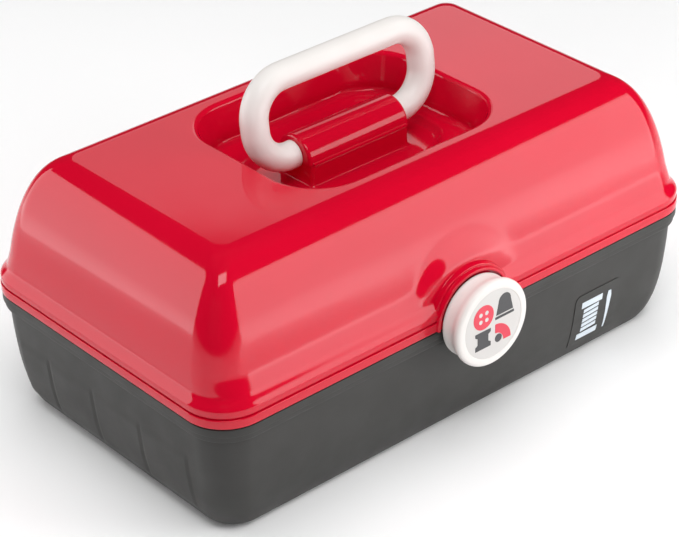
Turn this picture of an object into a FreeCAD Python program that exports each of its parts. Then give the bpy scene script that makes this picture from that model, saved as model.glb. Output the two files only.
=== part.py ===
# Sewing box with a hinged lid, a folding carry handle, a flip latch and two cantilever trays.
# X runs along the length, the front long side faces -Y, Z is up, the origin is the floor centre.
import FreeCAD, Part
import math
import os

V = FreeCAD.Vector
os.makedirs("parts", exist_ok=True)

# ---- driving dimensions (mm) ----
HALF_L = 160.0          # half length at the rim
HALF_W = 94.66          # half width at the rim
RIM_R = 22.8            # plan corner radius of the rim
WALL = 2.4              # moulded wall thickness
BASE_TOP = 68.0         # top of the base rim
LID_RIM = 68.6          # underside of the lid rim
LID_TOP = 141.65        # flat top of the lid
BASE_RIM_LOW = 60.5     # underside of the base rim

# wall profiles: (inset from the rim outline, height) of four Bezier points
BASE_END = ((3.5, 60.5), (5.0, 30.0), (6.4, 0.0), (19.8, 0.0))
BASE_SIDE = ((3.5, 60.5), (5.0, 30.0), (10.15, 0.0), (17.8, 0.0))
LID_END = ((4.15, 74.4), (2.25, 101.6), (17.1, 141.65), (34.3, 141.65))
LID_SIDE = ((4.15, 74.4), (9.37, 101.6), (15.8, 141.65), (36.0, 141.65))
LID_FOOT_T = 0.11       # where the lid wall leaves the shoulder
LID_FOOT_R = 18.6       # plan corner radius at the foot of the lid wall
LID_TOP_R = 6.7         # plan corner radius at the top of the lid wall
LID_R_LAW = 1.6         # the corner radius shrinks slowly at first, faster near the top
FLANGE_IN = 0.35        # inset of the upper flange band
FLANGE_TOP = 77.4       # where the flange ends and the ramp into the wall starts
BASE_R_TOP = 19.3       # plan corner radius under the base rim
BASE_R_LOW = 15.2       # plan corner radius at the floor

# the same for the inside faces of the two shells
BASE_IN_END = ((5.9, 60.5), (7.4, 30.0), (9.0, 2.6), (21.0, 2.6))
BASE_IN_SIDE = ((5.9, 60.5), (7.4, 30.0), (12.4, 2.6), (19.4, 2.6))
LID_IN_END = ((6.6, 68.0), (4.7, 99.6), (19.6, 139.25), (36.0, 139.25))
LID_IN_SIDE = ((6.6, 68.0), (11.8, 99.6), (17.4, 139.25), (36.5, 139.25))

# badge plate on the front wall
BADGE_X = 94.0
BADGE_Z = 24.5
BADGE_HALF = (16.5, 17.5)
BADGE_R = 3.6
BADGE_T = 0.35

# handle recess, pedestal and loop
REC_X = 66.0            # half length of the recess at the top
REC_Y = 52.3            # half width of the recess at the top
REC_R = 29.0
REC_FLOOR = 121.0
DISH_FLOOR = 118.0
DISH_X = 54.0
DISH_Y = 27.0
DISH_R = 23.0
BARREL_R = 12.66
BARREL_X = 32.7         # half length of the barrel
BARREL_Z = 129.8
PED_Y = 13.1            # half width of the pedestal
HANDLE_Z = 132.6        # pivot axis of the handle
HANDLE_R = 7.16         # tube radius
HANDLE_X = 54.6         # half length of the centreline
HANDLE_H = 42.3         # height of the centreline loop
HANDLE_BEND = 19.0
HANDLE_TILT = 6.7       # degrees the loop leans back at rest
SPINDLE_R = 6.0         # necked part of the loop inside the barrel

# latch
LATCH_Z = 69.1
LATCH_R = 23.4          # widest, just behind the front face
LATCH_BACK_R = 22.0
LATCH_BACK = -95.3
LATCH_FRONT = -108.6
LATCH_PIN_Y = -99.8
LATCH_PIN_Z = 86.0
LATCH_PIN_R = 1.3
FACE_R = 18.8           # printed face inside the raised lip
COLLAR_R = 24.6         # ring on the lid round the upper half of the latch
COLLAR_FRONT = -95.9
POCKET_R = 22.9         # shallow seat inside the ring
POCKET_FLOOR = -92.7
EAR_X = 4.2             # half width of the ear that carries the pin
SLOT_X = 4.7            # half width of the slot in the latch that clears the ear

# hinges
HINGE_Y = 97.5
HINGE_Z = 68.0
HINGE_X = 92.0
KNUCKLE_R = 4.0
HINGE_PIN_R = 1.5

# trays and arms
TRAY_L = 142.0
TRAY_FRONT = -78.0
TRAY_REAR = 72.0
LOW_TRAY = (34.0, 56.0)
UP_TRAY = (58.0, 82.0)
TRAY_WALL = 1.8
ARM_IN = 144.5
ARM_T = 2.0
ARM_EDGE = 5.5
ARM_UP = (-60.0, 4.0)   # base pivot to upper tray pivot
ARM_LOW = (-35.0, -12.0)
ARM_REAR = (74.0, 60.0)
ARM_FRONT = (0.0, 60.0)
RIVET_R = 2.0
GAP = 0.3


def bez(p, t):
    s = 1.0 - t
    k = (s ** 3, 3 * s * s * t, 3 * s * t * t, t ** 3)
    return (sum(k[i] * p[i][0] for i in range(4)), sum(k[i] * p[i][1] for i in range(4)))


def ring(hx, hy, r, z, cx=0.0, cy=0.0):
    """Rounded rectangle as a closed wire at height z."""
    pts = []
    for sx, sy, a in ((1, 1, 0), (-1, 1, 90), (-1, -1, 180), (1, -1, 270)):
        ox = cx + sx * (hx - r)
        oy = cy + sy * (hy - r)
        arc = [V(ox + r * math.cos(math.radians(a + d)), oy + r * math.sin(math.radians(a + d)), z)
               for d in (0, 45, 90)]
        pts.append(arc)
    edges = []
    for i in range(4):
        edges.append(Part.Arc(*pts[i]).toShape())
        edges.append(Part.makeLine(pts[i][2], pts[(i + 1) % 4][0]))
    return Part.Wire(edges)


def slab(hx, hy, r, z0, z1, cx=0.0, cy=0.0):
    return Part.Face(ring(hx, hy, r, z0, cx, cy)).extrude(V(0, 0, z1 - z0))


def loft(wires):
    return Part.makeLoft(wires, True, True)


def box(x0, x1, y0, y1, z0, z1):
    return Part.makeBox(x1 - x0, y1 - y0, z1 - z0, V(x0, y0, z0))


def rod(x0, x1, y, z, r):
    return Part.makeCylinder(r, x1 - x0, V(x0, y, z), V(1, 0, 0))


def disc(y0, y1, x, z, r):
    return Part.makeCylinder(r, y1 - y0, V(x, y0, z), V(0, 1, 0))


def round_edges(shape, test, r):
    """Fillet every edge whose centre passes the test; keep the plain shape if it cannot be done."""
    picked = [e for e in shape.Edges if test(e.BoundBox.Center, e)]
    if not picked:
        return shape
    try:
        out = shape.makeFillet(r, picked)
        return out if out.isValid() and out.Solids else shape
    except Exception:
        return shape


def join(first, *others):
    return first.multiFuse(list(others)).removeSplitter()


def save(name, shapes):
    solids = []
    for s in shapes:
        solids.extend(s.Solids)
    whole = solids[0] if len(solids) == 1 else Part.makeCompound(solids)
    whole.exportStep("parts/" + name + ".step")
    b = whole.BoundBox
    print(name, len(solids), whole.isValid(), round(whole.Volume / 1000.0, 2),
          [round(v, 2) for v in (b.XMin, b.XMax, b.YMin, b.YMax, b.ZMin, b.ZMax)])


def mirror_x(shape):
    return shape.mirror(V(0, 0, 0), V(1, 0, 0))


# ---- base shell ----
def base_body(grow):
    """Outside of the base wall, grown outwards by the given amount."""
    wires = []
    for inset, z in ((5.0, 60.5), (4.1, 60.25), (3.65, 59.7), (3.55, 59.0)):
        wires.append(ring(HALF_L - inset + grow, HALF_W - inset + grow, BASE_R_TOP + grow, z))
    for t in (0.06, 0.18, 0.3, 0.42, 0.54, 0.64, 0.72, 0.79, 0.85, 0.9, 0.95, 1.0):
        ix, z = bez(BASE_END, t)
        iy, z = bez(BASE_SIDE, t)
        r = BASE_R_TOP + (BASE_R_LOW - BASE_R_TOP) * (1.0 - z / 60.5)
        wires.append(ring(HALF_L - ix + grow, HALF_W - iy + grow, r + grow, z))
    return loft(wires)


def base_inside():
    wires = [ring(HALF_L - 5.9, HALF_W - 5.9, 16.9, 80.0)]
    for t in (0.0, 0.2, 0.4, 0.55, 0.68, 0.78, 0.86, 0.93, 1.0):
        ix, z = bez(BASE_IN_END, t)
        iy, z = bez(BASE_IN_SIDE, t)
        wires.append(ring(HALF_L - ix, HALF_W - iy, 16.9 - 3.0 * (1.0 - z / 60.5), z))
    return loft(wires)


body = base_body(0.0)
low_band = slab(HALF_L - 1.3, HALF_W - 1.3, RIM_R - 1.3, BASE_RIM_LOW - 0.4, 64.2)
low_band = round_edges(low_band, lambda c, e: e.BoundBox.ZMax < 60.3, 0.7)
top_band = slab(HALF_L - 0.3, HALF_W - 0.3, RIM_R - 0.3, 63.6, BASE_TOP)
top_band = round_edges(top_band, lambda c, e: e.BoundBox.ZMax < 63.7 or e.BoundBox.ZMin > 67.9, 0.5)
base = join(body, low_band, top_band)

base = base.cut(base_inside())

# holes in the end walls for the studs the arms turn on
for pivot in (ARM_REAR, ARM_FRONT):
    for s in (1, -1):
        x0 = 151.0 if s > 0 else -155.5
        base = base.cut(rod(x0, x0 + 4.5, pivot[0], pivot[1], RIVET_R))

# hinge knuckles: two on the base and one on the lid at each hinge
for s in (1, -1):
    c = s * HINGE_X
    base = base.cut(rod(c - 8.4, c + 8.4, HINGE_Y, HINGE_Z, KNUCKLE_R + 0.5))
    for a, b in ((-20.0, -8.7), (8.7, 20.0)):
        k = rod(c + a, c + b, HINGE_Y, HINGE_Z, KNUCKLE_R)
        web = box(c + a, c + b, 92.0, HINGE_Y, 64.0, 67.6)
        base = join(base, k, web)
    base = base.cut(rod(c - 21.0, c + 21.0, HINGE_Y, HINGE_Z, HINGE_PIN_R))
save("base_shell", [base])

# ---- round spacers that hold the arms clear of the end walls ----
spacers = []
for pivot in (ARM_REAR, ARM_FRONT):
    spacer = rod(148.0, 155.0, pivot[0], pivot[1], 6.0).common(base_inside())
    spacer = spacer.cut(rod(147.0, 156.0, pivot[0], pivot[1], RIVET_R))
    spacer.translate(V(-0.1, 0, 0))
    spacers += [spacer, mirror_x(spacer)]
save("arm_spacers", spacers)

# ---- front badge: a thin rounded plate following the front wall ----
badge_skin = base_body(BADGE_T).cut(base_body(0.0))
plate = Part.Face(ring(BADGE_HALF[0], BADGE_HALF[1], BADGE_R, 0)).extrude(V(0, 0, 35))
plate.rotate(V(0, 0, 0), V(1, 0, 0), 90)
plate.translate(V(BADGE_X, -70, BADGE_Z))
badge = badge_skin.common(plate)
save("front_badge", [badge])


# ---- lid shell ----
FOOT_END = bez(LID_END, LID_FOOT_T)
FOOT_SIDE = bez(LID_SIDE, LID_FOOT_T)


def lid_body():
    wires = []
    steps = 16
    for i in range(steps + 1):
        t = LID_FOOT_T + (1.0 - LID_FOOT_T) * i / steps
        ix, z = bez(LID_END, t)
        iy, z = bez(LID_SIDE, t)
        k = ((z - FOOT_END[1]) / (LID_TOP - FOOT_END[1])) ** LID_R_LAW
        wires.append(ring(HALF_L - ix, HALF_W - iy, LID_FOOT_R + (LID_TOP_R - LID_FOOT_R) * k, z))
    return loft(wires)


def lid_shoulder():
    """Soft ramp from the flange up into the foot of the wall."""
    wires = []
    for t in (0.0, 0.2, 0.4, 0.6, 0.8, 1.0):
        ix, z = bez(((FLANGE_IN, FLANGE_TOP), (FLANGE_IN, 79.2), (FOOT_END[0], 81.8), FOOT_END), t)
        iy, z = bez(((FLANGE_IN, FLANGE_TOP), (FLANGE_IN, 79.2), (FOOT_SIDE[0], 81.8), FOOT_SIDE), t)
        r = (RIM_R - FLANGE_IN) * (1.0 - t) + LID_FOOT_R * t
        wires.append(ring(HALF_L - ix, HALF_W - iy, r, z))
    return loft(wires)


def lid_inside():
    wires = []
    for t in (0.0, 0.1, 0.2, 0.3, 0.4, 0.5, 0.6, 0.7, 0.8, 0.9, 1.0):
        ix, z = bez(LID_IN_END, t)
        iy, z = bez(LID_IN_SIDE, t)
        k = (z - 68.0) / (LID_TOP - 68.0)
        wires.append(ring(HALF_L - ix, HALF_W - iy, 17.0 - 11.0 * k, z))
    return loft(wires)


dome = lid_body()
shoulder = lid_shoulder()
band_low = slab(HALF_L, HALF_W, RIM_R, LID_RIM, 73.4)
band_low = round_edges(band_low, lambda c, e: e.BoundBox.ZMax - e.BoundBox.ZMin < 0.1, 0.45)
groove = slab(HALF_L - 1.1, HALF_W - 1.1, RIM_R - 1.1, 73.0, 75.0)
band_high = slab(HALF_L - FLANGE_IN, HALF_W - FLANGE_IN, RIM_R - FLANGE_IN, 74.3, FLANGE_TOP)
band_high = round_edges(band_high, lambda c, e: e.BoundBox.ZMax < 74.4, 0.4)

# latch boss: a ring and a lower flange behind it that flares into the wall, upper half only
flare = Part.Wire(Part.makePolygon([
    V(0, -78.0, 0), V(33.6, -78.0, 0), V(31.2, -85.6, 0), V(28.6, -87.4, 0), V(26.8, -89.8, 0),
    V(26.0, -92.8, 0), V(26.0, -93.4, 0), V(COLLAR_R, -93.4, 0), V(COLLAR_R, COLLAR_FRONT, 0),
    V(0, COLLAR_FRONT, 0), V(0, -78.0, 0)]))
boss = Part.Face(flare).revolve(V(0, 0, 0), V(0, 1, 0), 360)
boss.translate(V(0, 0, LATCH_Z))
boss = boss.cut(box(-40, 40, -110, -70, 30, LID_RIM))

lid = join(dome, shoulder, band_low, groove, band_high, boss)
lid = lid.cut(lid_inside())
lid = lid.cut(disc(-97.0, POCKET_FLOOR, 0, LATCH_Z, POCKET_R))

# recess cup, drawn with flared and rounded top edge
REC_SECTIONS = (
    (2.3, LID_TOP + 0.3), (1.2, LID_TOP - 0.25), (0.2, 140.2), (-0.9, 137.4), (-2.6, 131.0),
    (-4.6, 125.0), (-5.8, 122.4), (-7.6, 121.2), (-10.0, REC_FLOOR))


def recess(grow, drop, top):
    wires = []
    for d, z in REC_SECTIONS:
        if z > top:
            continue
        wires.append(ring(REC_X + d + grow, REC_Y + d + grow, REC_R + d * 0.7 + grow, z - drop))
    return loft(wires)


def dish(grow, drop):
    lip = ((1.6, REC_FLOOR + 0.4), (0.6, REC_FLOOR - 0.3), (-0.4, 120.0), (-1.6, 118.6), (-3.4, DISH_FLOOR))
    return loft([ring(DISH_X + d + grow, DISH_Y + d + grow, DISH_R + grow, z - drop) for d, z in lip])


collar = slab(REC_X + WALL, REC_Y + WALL, REC_R + WALL, 134.5, LID_TOP - 0.3)
cup = join(recess(WALL, WALL, 138.0), collar, dish(WALL, WALL))
lid = join(lid, cup)
lid = lid.cut(recess(0.0, 0.0, 200.0))
lid = lid.cut(dish(0.0, 0.0))

# pedestal that carries the loop
ped = box(-BARREL_X + 0.6, BARREL_X - 0.6, -PED_Y, PED_Y, 115.7, BARREL_Z)
ped = round_edges(ped, lambda c, e: abs(abs(c.x) - BARREL_X + 0.6) < 0.1 and abs(abs(c.y) - PED_Y) < 0.1, 2.0)
foot = loft([ring(BARREL_X + 1.6, PED_Y + 2.2, 4.0, DISH_FLOOR - 0.1),
             ring(BARREL_X + 0.2, PED_Y + 0.8, 3.0, DISH_FLOOR + 0.8),
             ring(BARREL_X - 0.6, PED_Y, 2.2, DISH_FLOOR + 2.4)])
lid = join(lid, ped, foot)
lid = lid.cut(rod(-BARREL_X - 1, BARREL_X + 1, 0, HANDLE_Z, SPINDLE_R + GAP))
SCREWS = [(sx * 20.0, sy * 9.6) for sx in (1, -1) for sy in (1, -1)]
for x, y in SCREWS:
    lid = lid.cut(Part.makeCylinder(1.5, 30, V(x, y, 110)))

# lugs that take the upper tray along
LINK = (HINGE_Y + ARM_UP[0], HINGE_Z + ARM_UP[1])
for s in (1, -1):
    x0 = 149.0 if s > 0 else -151.2
    tongue = join(rod(x0, x0 + 2.2, LINK[0], LINK[1], 5.0),
                  box(x0, x0 + 2.2, LINK[0] - 5.0, LINK[0] + 5.0, LINK[1], 91.0))
    b0 = 151.0 if s > 0 else -153.9
    seat = box(b0, b0 + 2.9, LINK[0] - 5.0, LINK[0] + 5.0, 80.0, 91.0)
    lid = join(lid, tongue, seat)
    lid = lid.cut(rod(x0 - 1, x0 + 3.2, LINK[0], LINK[1], RIVET_R + GAP))

# lid knuckles
for s in (1, -1):
    c = s * HINGE_X
    for a, b in ((-20.4, -8.3), (8.3, 20.4)):
        lid = lid.cut(rod(c + a, c + b, HINGE_Y, HINGE_Z, KNUCKLE_R + 0.5))
    k = rod(c - 8.0, c + 8.0, HINGE_Y, HINGE_Z, KNUCKLE_R)
    web = box(c - 8.0, c + 8.0, 92.5, HINGE_Y, 69.0, 72.0)
    lid = join(lid, k, web)
    lid = lid.cut(rod(c - 10.0, c + 10.0, HINGE_Y, HINGE_Z, HINGE_PIN_R + GAP))

# latch ear: rises from the seat behind the latch and carries its pin
ear_points = (
    (LATCH_PIN_Y - 2.2, LATCH_PIN_Z - 1.6), (POCKET_FLOOR, 76.4), (POCKET_FLOOR + 1.0, 76.4),
    (POCKET_FLOOR + 1.0, 81.4), (POCKET_FLOOR, 81.4), (LATCH_PIN_Y + 2.2, LATCH_PIN_Z + 1.6),
    (LATCH_PIN_Y - 2.2, LATCH_PIN_Z - 1.6))
ear_side = Part.makePolygon([V(-EAR_X, y, z) for y, z in ear_points])
ear = join(rod(-EAR_X, EAR_X, LATCH_PIN_Y, LATCH_PIN_Z, 2.7), Part.Face(ear_side).extrude(V(2 * EAR_X, 0, 0)))
lid = join(lid, ear)
lid = lid.cut(rod(-6, 6, LATCH_PIN_Y, LATCH_PIN_Z, LATCH_PIN_R + GAP))
save("lid_shell", [lid])

# ---- hinge pins ----
pins = []
for s in (1, -1):
    c = s * HINGE_X
    pins.append(join(rod(c - 20.0, c + 20.0, HINGE_Y, HINGE_Z, HINGE_PIN_R),
                     rod(c + 20.0, c + 21.0, HINGE_Y, HINGE_Z, 2.4)))
save("lid_hinge_pins", pins)

# ---- handle cap, screws and loop ----
cap = rod(-BARREL_X, BARREL_X, 0, BARREL_Z, BARREL_R)
cap = round_edges(cap, lambda c, e: e.Closed, 1.8)
cap_foot = box(-BARREL_X + 1.8, BARREL_X - 1.8, -PED_Y - 0.5, PED_Y + 0.5, BARREL_Z - 0.1, BARREL_Z + 1.1)
cap = join(cap, cap_foot)
cap = cap.cut(box(-50, 50, -20, 20, 100, BARREL_Z))
cap = cap.cut(rod(-50, 50, 0, HANDLE_Z, SPINDLE_R + GAP))
cap = cap.cut(box(-50, 50, -SPINDLE_R - GAP, SPINDLE_R + GAP, 120, HANDLE_Z))
for x, y in SCREWS:
    cap = cap.cut(Part.makeCylinder(1.25, 6.2, V(x, y, BARREL_Z)))
save("handle_cap", [cap])

screws = []
for x, y in SCREWS:
    shank = Part.makeCylinder(1.25, BARREL_Z + 6.0 - 115.0, V(x, y, 115.0))
    head = Part.makeCylinder(2.7, 1.2, V(x, y, 114.4))
    slot = box(x - 3, x + 3, y - 0.35, y + 0.35, 114.0, 114.9)
    screws.append(shank.fuse(head).removeSplitter().cut(slot))
save("handle_cap_screws", screws)

hx = HANDLE_X - HANDLE_BEND
lo = 0.0
hi = HANDLE_H
mid = HANDLE_BEND
arc_c = math.sqrt(0.5) * HANDLE_BEND


def at(x, z):
    return V(x, 0, HANDLE_Z + z)


path = Part.Wire([
    Part.makeLine(at(0, lo), at(hx, lo)),
    Part.Arc(at(hx, lo), at(hx + arc_c, mid - arc_c), at(HANDLE_X, mid)).toShape(),
    Part.makeLine(at(HANDLE_X, mid), at(HANDLE_X, hi - mid)),
    Part.Arc(at(HANDLE_X, hi - mid), at(hx + arc_c, hi - mid + arc_c), at(hx, hi)).toShape(),
    Part.makeLine(at(hx, hi), at(-hx, hi)),
    Part.Arc(at(-hx, hi), at(-hx - arc_c, hi - mid + arc_c), at(-HANDLE_X, hi - mid)).toShape(),
    Part.makeLine(at(-HANDLE_X, hi - mid), at(-HANDLE_X, mid)),
    Part.Arc(at(-HANDLE_X, mid), at(-hx - arc_c, mid - arc_c), at(-hx, lo)).toShape(),
    Part.makeLine(at(-hx, lo), at(0, lo)),
])
section = Part.Wire([Part.makeCircle(HANDLE_R, at(0, lo), V(1, 0, 0))])
loop = path.makePipeShell([section], True, False)
neck = BARREL_X + 0.4
sleeve = rod(-neck, neck, 0, HANDLE_Z, HANDLE_R + 2.0).cut(rod(-neck, neck, 0, HANDLE_Z, SPINDLE_R))
loop = loop.cut(sleeve)
loop.rotate(V(0, 0, HANDLE_Z), V(1, 0, 0), -HANDLE_TILT)
save("handle_loop", [loop])

# ---- latch: a round cap with a slight waist, hollow at the back, closed over the pin ----
cap_points = (
    (0, LATCH_FRONT + 1.0), (FACE_R, LATCH_FRONT + 1.0), (FACE_R, LATCH_FRONT), (21.4, LATCH_FRONT),
    (22.5, LATCH_FRONT + 0.5), (23.2, LATCH_FRONT + 1.3), (LATCH_R, LATCH_FRONT + 2.2),
    (LATCH_R - 0.2, LATCH_FRONT + 3.4), (22.5, LATCH_FRONT + 4.9), (21.8, LATCH_FRONT + 7.6),
    (LATCH_BACK_R, LATCH_BACK - 1.6), (LATCH_BACK_R - 0.2, LATCH_BACK - 0.5), (LATCH_BACK_R - 0.9, LATCH_BACK),
    (0, LATCH_BACK), (0, LATCH_FRONT + 1.0))
side = Part.Wire(Part.makePolygon([V(r, y, 0) for r, y in cap_points]))
button = Part.Face(side).revolve(V(0, 0, 0), V(0, 1, 0), 360)
button.translate(V(0, 0, LATCH_Z))
hollow = disc(-104.6, -94.0, 0, LATCH_Z, 19.6)
button = button.cut(hollow.common(box(-40, 40, -110, -90, 30, 78.0)))
hook = box(-8.0, 8.0, -105.0, -92.3, 57.2, 59.5)
hook = round_edges(hook, lambda c, e: c.y > -92.4, 0.6)
button = join(button, hook)
button = button.cut(rod(-SLOT_X, SLOT_X, LATCH_PIN_Y, LATCH_PIN_Z, 3.0))
button = button.cut(box(-SLOT_X, SLOT_X, LATCH_PIN_Y - 3.0, -90.0, 70.0, LATCH_PIN_Z))
button = button.cut(box(-SLOT_X, SLOT_X, LATCH_PIN_Y, -90.0, LATCH_PIN_Z, LATCH_PIN_Z + 3.0))
button = button.cut(rod(-10.0, 10.0, LATCH_PIN_Y, LATCH_PIN_Z, LATCH_PIN_R))
save("latch_button", [button])

face = disc(LATCH_FRONT + 0.3, LATCH_FRONT + 1.0, 0, LATCH_Z, FACE_R)
save("latch_face_disc", [face])
save("latch_pin", [rod(-10.0, 10.0, LATCH_PIN_Y, LATCH_PIN_Z, LATCH_PIN_R)])


# ---- trays ----
def tray(z0, z1):
    cy = (TRAY_FRONT + TRAY_REAR) / 2.0
    hy = (TRAY_REAR - TRAY_FRONT) / 2.0
    outer = loft([ring(TRAY_L - 1.6, hy - 1.6, 6.4, z0, 0, cy), ring(TRAY_L, hy, 8.0, z0 + 1.6, 0, cy)])
    outer = join(outer, slab(TRAY_L, hy, 8.0, z0 + 1.6, z1, 0, cy))
    inner = slab(TRAY_L - TRAY_WALL, hy - TRAY_WALL, 6.2, z0 + TRAY_WALL, z1 + 1, 0, cy)
    out = outer.cut(inner)
    return round_edges(out, lambda c, e: e.BoundBox.ZMin > z1 - 0.01, 0.6)


def pivot_holes(shape, points):
    for y, z in points:
        shape = shape.cut(rod(TRAY_L - 3.0, TRAY_L + 1.0, y, z, RIVET_R))
        shape = shape.cut(rod(-TRAY_L - 1.0, -TRAY_L + 3.0, y, z, RIVET_R))
    return shape


low_pivots = [(p[0] + ARM_LOW[0], p[1] + ARM_LOW[1]) for p in (ARM_FRONT, ARM_REAR)]
up_pivots = [(p[0] + ARM_UP[0], p[1] + ARM_UP[1]) for p in (ARM_FRONT, ARM_REAR)]
save("lower_tray", [pivot_holes(tray(*LOW_TRAY), low_pivots)])
save("upper_tray", [pivot_holes(tray(*UP_TRAY), up_pivots + [LINK])])

# long partitions and short dividers standing on the tray floors
T = 1.5
low_floor = LOW_TRAY[0] + TRAY_WALL
up_floor = UP_TRAY[0] + TRAY_WALL
end = TRAY_L - TRAY_WALL - 4.0
UP_LONG_Y = 6.0
LOW_LONG_Y = -10.0
save("upper_tray_partition", [box(-end, end, UP_LONG_Y, UP_LONG_Y + T, up_floor, UP_TRAY[1] - 3.0)])
save("lower_tray_partition", [box(-end, end, LOW_LONG_Y, LOW_LONG_Y + T, low_floor, LOW_TRAY[1] - 3.0)])
front_in = TRAY_FRONT + TRAY_WALL
rear_in = TRAY_REAR - TRAY_WALL
save("upper_tray_dividers", [box(x, x + T, front_in, UP_LONG_Y, up_floor, UP_TRAY[1] - 4.5)
                             for x in (-94.0, -47.0, 0.0, 47.0, 94.0)])
save("upper_tray_rear_divider", [box(30.0, 30.0 + T, UP_LONG_Y + T, rear_in, up_floor, UP_TRAY[1] - 4.5)])
save("lower_tray_dividers", [box(x, x + T, LOW_LONG_Y + T, rear_in, low_floor, LOW_TRAY[1] - 4.5)
                             for x in (-70.0, 0.0, 70.0)])


# ---- arms ----
def arm(pivot):
    y0, z0 = pivot
    pts = [(y0, z0), (y0 + ARM_LOW[0], z0 + ARM_LOW[1]), (y0 + ARM_UP[0], z0 + ARM_UP[1])]
    plate = Part.Face(Part.makePolygon([V(ARM_IN, y, z) for y, z in pts + pts[:1]])).extrude(V(ARM_T, 0, 0))
    parts = [rod(ARM_IN, ARM_IN + ARM_T, y, z, ARM_EDGE) for y, z in pts]
    for i in range(3):
        a = V(ARM_IN, *pts[i])
        b = V(ARM_IN, *pts[(i + 1) % 3])
        n = (b - a).cross(V(1, 0, 0)).normalize() * ARM_EDGE
        quad = Part.makePolygon([a + n, b + n, b - n, a - n, a + n])
        parts.append(Part.Face(quad).extrude(V(ARM_T, 0, 0)))
    plate = join(plate, *parts)
    for y, z in pts:
        plate = plate.cut(rod(ARM_IN - 1, ARM_IN + ARM_T + 1, y, z, RIVET_R + GAP))
    return plate


for name, pivot in (("front_arm", ARM_FRONT), ("rear_arm", ARM_REAR)):
    right = arm(pivot)
    save(name + "_right", [right])
    save(name + "_left", [mirror_x(right)])


# ---- rivets ----
def both(shape):
    return [shape, mirror_x(shape)]


def tray_rivet(y, z):
    """Grows out of the tray wall, passes the arm and ends in a head outside it."""
    shank = rod(TRAY_L - TRAY_WALL, ARM_IN + ARM_T + 0.35, y, z, RIVET_R)
    collar = rod(TRAY_L, ARM_IN - 0.35, y, z, 3.2)
    head = rod(ARM_IN + ARM_T + 0.35, ARM_IN + ARM_T + 1.3, y, z, 3.4)
    return join(shank, collar, head)


def base_rivet(y, z):
    shank = rod(ARM_IN - 0.35, 155.4, y, z, RIVET_R)
    collar = rod(ARM_IN + ARM_T + 0.35, 147.9, y, z, 3.2)
    head = rod(ARM_IN - 1.2, ARM_IN - 0.35, y, z, 3.4)
    return join(shank, collar, head)


def link_rivet(y, z):
    shank = rod(TRAY_L - TRAY_WALL, 151.6, y, z, RIVET_R)
    collar = rod(TRAY_L, 148.6, y, z, 3.0)
    head = rod(151.55, 152.5, y, z, 3.4)
    return join(shank, collar, head)


save("base_arm_rivets", [s for p in (ARM_REAR, ARM_FRONT) for s in both(base_rivet(*p))])
save("lower_tray_rivets", [s for p in low_pivots for s in both(tray_rivet(*p))])
save("upper_tray_rivets", [s for p in up_pivots for s in both(tray_rivet(*p))])
save("lid_link_rivets", both(link_rivet(*LINK)))
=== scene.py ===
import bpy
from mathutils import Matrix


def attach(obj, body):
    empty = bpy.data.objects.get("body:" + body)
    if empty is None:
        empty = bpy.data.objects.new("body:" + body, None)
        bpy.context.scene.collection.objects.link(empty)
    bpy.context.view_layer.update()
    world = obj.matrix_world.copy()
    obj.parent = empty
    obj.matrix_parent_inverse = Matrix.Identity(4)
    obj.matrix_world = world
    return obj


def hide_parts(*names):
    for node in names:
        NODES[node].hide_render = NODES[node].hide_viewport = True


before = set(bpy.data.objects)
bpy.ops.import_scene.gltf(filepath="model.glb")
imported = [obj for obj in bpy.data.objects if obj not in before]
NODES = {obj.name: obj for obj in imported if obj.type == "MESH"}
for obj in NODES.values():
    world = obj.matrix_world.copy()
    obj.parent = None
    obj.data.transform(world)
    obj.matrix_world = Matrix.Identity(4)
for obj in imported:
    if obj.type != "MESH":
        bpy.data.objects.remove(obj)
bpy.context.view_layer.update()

import math

import bmesh
import bpy
from mathutils import Matrix, Vector

MM = 0.001
SIDES = (("right", 1), ("left", -1))


# ---------------------------------------------------------------- camera
CAMERA_TURN = (-40.243, 31.218, -1.517)  # azimuth, elevation and roll, in degrees
CAMERA_AT = (-0.719087, -0.843554, 0.72445)  # in metres
FOCAL_LENGTH, PICTURE_WIDTH = 2504.987, 679.0  # in one unit, so that only their ratio counts
SENSOR_WIDTH = 36.0


def set_camera():
    az, el, roll = (math.radians(a) for a in CAMERA_TURN)
    back = Vector((math.sin(az) * math.cos(el), -math.cos(az) * math.cos(el), math.sin(el)))
    right = (-back).cross(Vector((0, 0, 1))).normalized()
    up = right.cross(-back).normalized()
    rolled_right = right * math.cos(roll) + up * math.sin(roll)
    rolled_up = -right * math.sin(roll) + up * math.cos(roll)
    data = bpy.data.cameras.new("camera")
    data.sensor_width = SENSOR_WIDTH
    data.lens = SENSOR_WIDTH * FOCAL_LENGTH / PICTURE_WIDTH
    data.clip_start = 0.05
    data.clip_end = 20.0
    cam = bpy.data.objects.new("camera", data)
    pose = Matrix((rolled_right, rolled_up, back)).transposed().to_4x4()
    pose.translation = Vector(CAMERA_AT)
    cam.matrix_world = pose
    bpy.context.scene.collection.objects.link(cam)
    bpy.context.scene.camera = cam


set_camera()
bpy.context.scene.view_settings.view_transform = "Standard"


# ---------------------------------------------------------------- materials
def new_mat(name):
    m = bpy.data.materials.new(name)
    m.use_nodes = True
    nt = m.node_tree
    for n in list(nt.nodes):
        nt.nodes.remove(n)
    out = nt.nodes.new("ShaderNodeOutputMaterial")
    bsdf = nt.nodes.new("ShaderNodeBsdfPrincipled")
    nt.links.new(bsdf.outputs[0], out.inputs[0])
    coord = nt.nodes.new("ShaderNodeTexCoord")
    return m, nt, bsdf, coord


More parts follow.
